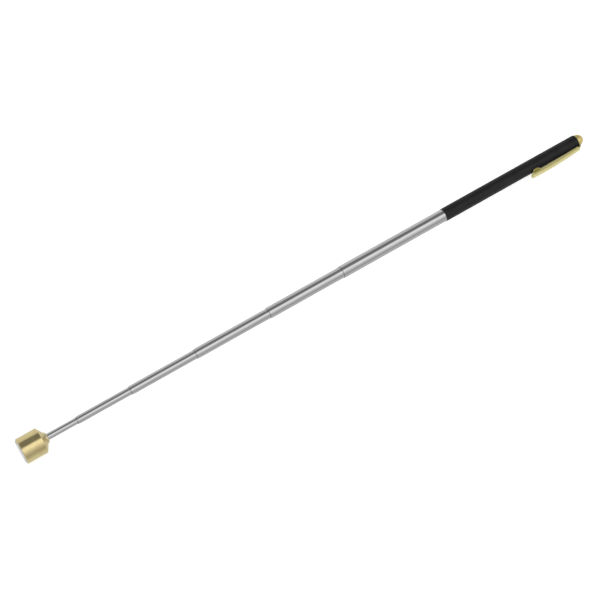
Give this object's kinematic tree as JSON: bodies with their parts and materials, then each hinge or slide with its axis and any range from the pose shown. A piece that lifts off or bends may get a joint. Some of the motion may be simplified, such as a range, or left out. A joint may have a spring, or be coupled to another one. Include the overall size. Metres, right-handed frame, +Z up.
{
  "type": "magnetic pickup tool",
  "caption": "Pen-style telescopic pickup tool: round magnet head on nested chrome tubes, slim black handle, pocket clip and domed end cap.",
  "frame": {"origin": "centre of the magnet's flat front face, on the tool's long axis", "axes": "+X from the magnet face along the tool's axis to the handle end, +Z up; the clip is on the -Y side, 23 degrees below level, as the tool comes to rest on a table"},
  "size_m": [0.5675, 0.0224, 0.0224],
  "materials": {
    "gold_plate": "polished gold-coloured plating",
    "chrome": "polished",
    "cup_steel": "turned",
    "magnet_nickel": "ground, nickel plated",
    "spacer_resin": "matte",
    "brass": "satin",
    "black_coat": "satin black coating"
  },
  "bodies": {
    "handle": {"handle_tube": "black_coat", "end_plug": "brass", "cap_dome": "gold_plate", "clip_ring": "gold_plate"},
    "clip": {"clip_arm": "gold_plate"},
    "tube_6": {"section_6": "chrome", "bush_6": "brass"},
    "tube_5": {"section_5": "chrome", "bush_5": "brass"},
    "tube_4": {"section_4": "chrome", "bush_4": "brass"},
    "tube_3": {"section_3": "chrome", "bush_3": "brass"},
    "tube_2": {"section_2": "chrome", "bush_2": "brass"},
    "rod_bush": {"bush_1": "brass"},
    "magnet_rod": {"section_1": "chrome", "head_stud": "brass", "neck_ferrule": "gold_plate", "head_shell": "gold_plate", "pole_cup": "cup_steel", "magnet_spacer": "spacer_resin", "magnet_disc": "magnet_nickel"}
  },
  "joints": [
    {"name": "clip_flex", "type": "hinge", "parent": "handle", "child": "clip", "pos_m": [0.55995, -0.00552, -0.00234], "axis": [0, -0.3907, 0.9205], "range_deg": [0, 4], "stiffness_Nm_per_rad": 0.6, "springref_deg": -1.72},
    {"name": "slide_6", "type": "slide", "parent": "handle", "child": "tube_6", "axis": [-1, 0, 0], "range_m": [-0.1054, 0.0039]},
    {"name": "slide_5", "type": "slide", "parent": "tube_6", "child": "tube_5", "axis": [-1, 0, 0], "range_m": [-0.0723, 0.037]},
    {"name": "slide_4", "type": "slide", "parent": "tube_5", "child": "tube_4", "axis": [-1, 0, 0], "range_m": [-0.06985, 0.03945]},
    {"name": "slide_3", "type": "slide", "parent": "tube_4", "child": "tube_3", "axis": [-1, 0, 0], "range_m": [-0.06045, 0.04885]},
    {"name": "slide_2", "type": "slide", "parent": "tube_3", "child": "tube_2", "axis": [-1, 0, 0], "range_m": [-0.048, 0.0613]},
    {"name": "slide_1", "type": "slide", "parent": "tube_2", "child": "rod_bush", "axis": [-1, 0, 0], "range_m": [-0.0247, 0.0846]},
    {"name": "rod_twist", "type": "hinge", "parent": "rod_bush", "child": "magnet_rod", "pos_m": [0.1, 0, 0], "axis": [1, 0, 0], "continuous": true}
  ]
}
